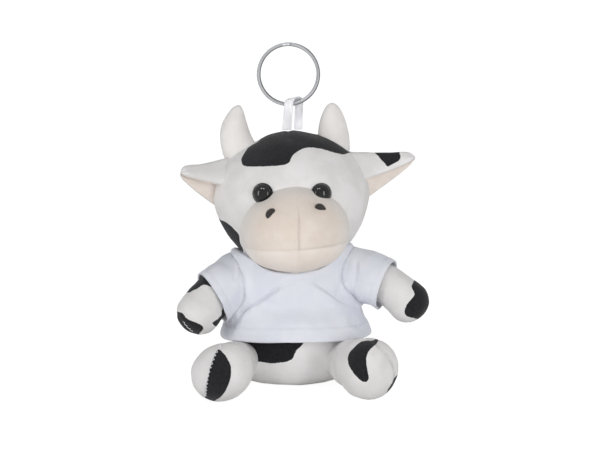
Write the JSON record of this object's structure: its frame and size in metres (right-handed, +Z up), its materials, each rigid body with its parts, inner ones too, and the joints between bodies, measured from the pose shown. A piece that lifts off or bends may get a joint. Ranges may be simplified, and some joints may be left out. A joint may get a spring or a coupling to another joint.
{
  "type": "plush cow key charm",
  "caption": "Seated plush cow in a T-shirt with posable head, ears, arms and legs, hung from a split key ring on a folded satin ribbon.",
  "frame": {"origin": "centre of the flat under the seat, on the surface that the toy sits on", "axes": "+Z up, -Y the way the toy faces, +X to the right as seen by someone who looks at its face"},
  "size_m": [0.0986, 0.0738, 0.135],
  "materials": {
    "white_plush": "short-pile white plush with black printed patches on head, ear, arms, legs and belly",
    "peach_plush": "short-pile peach plush",
    "cream_plush": "short-pile cream plush",
    "ear_lining": "smooth cream lining",
    "dark_thread": "satin-stitch embroidery",
    "fiber_filling": "polyester stuffing",
    "white_jersey": "fine knitted jersey",
    "white_satin": "narrow satin ribbon",
    "black_plastic": "polished",
    "white_plastic": "moulded",
    "nickel_steel": "nickel-plated spring steel"
  },
  "bodies": {
    "torso": {"body_cover": "white_plush", "body_filling": "fiber_filling", "shirt": "white_jersey", "collar": "white_jersey", "sleeve_left": "white_jersey", "sleeve_right": "white_jersey"},
    "head": {"head_cover": "white_plush", "head_filling": "fiber_filling", "chin": "peach_plush", "muzzle_filling": "fiber_filling", "muzzle_left": "peach_plush", "nostril_left": "dark_thread", "eye_left": "black_plastic", "eye_washer_left": "white_plastic", "horn_left": "cream_plush", "horn_filling_left": "fiber_filling", "muzzle_right": "peach_plush", "nostril_right": "dark_thread", "eye_right": "black_plastic", "eye_washer_right": "white_plastic", "horn_right": "cream_plush", "horn_filling_right": "fiber_filling"},
    "ear_left": {"ear_left": "white_plush", "ear_lining_left": "ear_lining"},
    "ear_right": {"ear_right": "white_plush", "ear_lining_right": "ear_lining"},
    "arm_left": {"arm_left": "white_plush", "arm_filling_left": "fiber_filling"},
    "arm_right": {"arm_right": "white_plush", "arm_filling_right": "fiber_filling"},
    "leg_left": {"leg_left": "white_plush", "leg_filling_left": "fiber_filling"},
    "leg_right": {"leg_right": "white_plush", "leg_filling_right": "fiber_filling"},
    "ribbon": {"ribbon": "white_satin"},
    "ring": {"split_ring": "nickel_steel"}
  },
  "joints": [
    {"name": "head_nod", "type": "hinge", "parent": "torso", "child": "head", "pos_m": [0, 0, 0.044], "axis": [1, 0, 0], "range_deg": [-12, 2], "stiffness_Nm_per_rad": 0.05},
    {"name": "ear_left_flap", "type": "hinge", "parent": "head", "child": "ear_left", "pos_m": [-0.02834, -0.00122, 0.07888], "axis": [0.2453, 0.0131, 0.9694], "range_deg": [-20, 20], "stiffness_Nm_per_rad": 0.002},
    {"name": "ear_right_flap", "type": "hinge", "parent": "head", "child": "ear_right", "pos_m": [0.02741, 0.00122, 0.082], "axis": [-0.3518, -0.0131, 0.936], "range_deg": [-20, 20], "stiffness_Nm_per_rad": 0.002},
    {"name": "arm_left_raise", "type": "hinge", "parent": "torso", "child": "arm_left", "pos_m": [-0.0186, -0.001, 0.0396], "axis": [-0.6685, 0.7437, 0], "range_deg": [-12, 18], "stiffness_Nm_per_rad": 0.02, "deforming": ["sleeve_left"]},
    {"name": "arm_right_raise", "type": "hinge", "parent": "torso", "child": "arm_right", "pos_m": [0.0186, -0.001, 0.0396], "axis": [-0.2527, -0.9675, 0], "range_deg": [-12, 18], "stiffness_Nm_per_rad": 0.02, "deforming": ["sleeve_right"]},
    {"name": "leg_left_splay", "type": "hinge", "parent": "torso", "child": "leg_left", "pos_m": [-0.02, -0.0135, 0.0105], "axis": [0, 0, 1], "range_deg": [-12, 12], "stiffness_Nm_per_rad": 0.02},
    {"name": "leg_right_splay", "type": "hinge", "parent": "torso", "child": "leg_right", "pos_m": [0.02, -0.0135, 0.0105], "axis": [0, 0, 1], "range_deg": [-12, 12], "stiffness_Nm_per_rad": 0.02},
    {"name": "ribbon_fold", "type": "hinge", "parent": "head", "child": "ribbon", "pos_m": [0.0002, 0.0001, 0.1007], "axis": [1, 0, 0], "range_deg": [-60, 60]},
    {"name": "ring_swing", "type": "hinge", "parent": "ribbon", "child": "ring", "pos_m": [0.0008, 0.0001, 0.111], "axis": [0.9829, 0, 0.1839], "range_deg": [-75, 75]}
  ]
}
